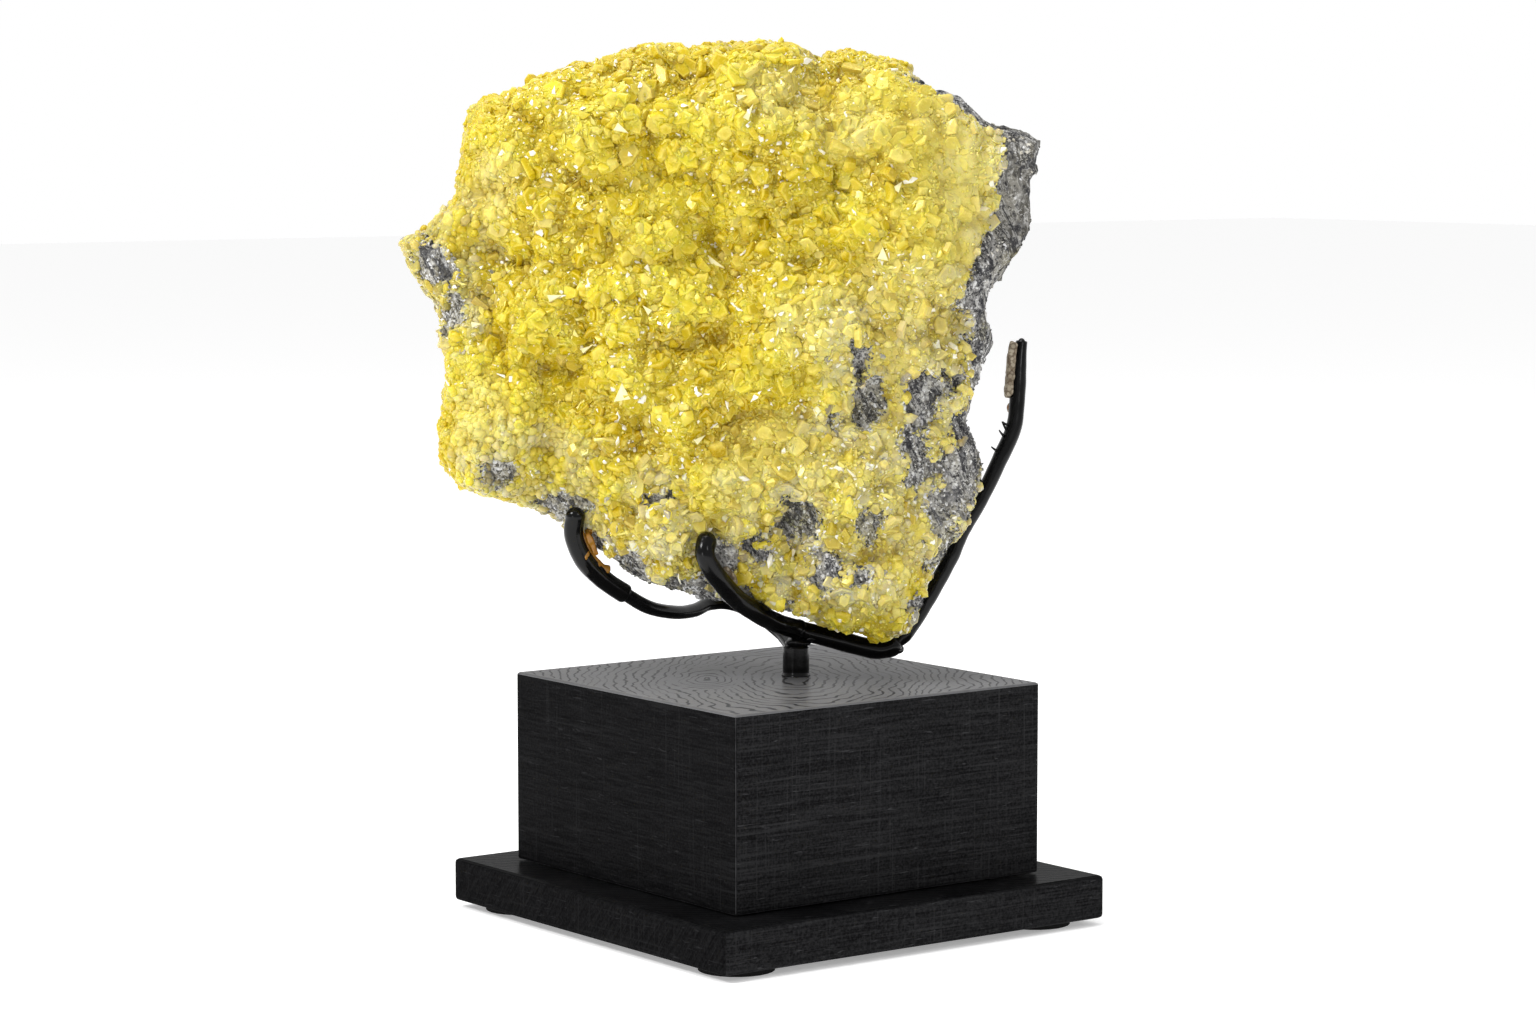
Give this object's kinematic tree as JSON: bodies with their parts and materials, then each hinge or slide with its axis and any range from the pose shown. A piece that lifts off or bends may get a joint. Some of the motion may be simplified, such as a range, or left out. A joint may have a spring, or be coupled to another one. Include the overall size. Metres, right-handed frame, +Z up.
{
  "type": "native sulfur crystal specimen on a stand",
  "caption": "Slab of grey marl crusted with yellow sulfur crystals, cradled by bent black rods on a post in a square black wooden base.",
  "frame": {"origin": "on the surface that the feet stand on, at the middle of the object's footprint box", "axes": "+Z up; -Y out of one side of the square base and -X out of the next; the crystal face looks out over the corner between them"},
  "size_m": [0.1718, 0.1422, 0.2641],
  "materials": {
    "sulfur": "resinous yellow crystals on dull grey rock",
    "black_wood": "black stain, satin, open grain",
    "foot_felt": "dense felt",
    "black_steel": "satin black paint",
    "sleeve_rubber": "smooth shrink sleeve",
    "pad_cork": "cork strip with dried glue"
  },
  "bodies": {
    "root": {"sulfur_specimen": "sulfur", "base_block": "black_wood", "base_plate": "black_wood", "foot_front": "foot_felt", "foot_right": "foot_felt", "foot_back": "foot_felt", "foot_left": "foot_felt", "post": "black_steel", "long_rod": "black_steel", "left_rod": "black_steel", "front_sleeve": "sleeve_rubber", "bar_sleeve": "sleeve_rubber", "left_sleeve": "sleeve_rubber", "front_pad": "pad_cork", "left_pad": "pad_cork", "back_pad": "pad_cork"}
  },
  "joints": []
}
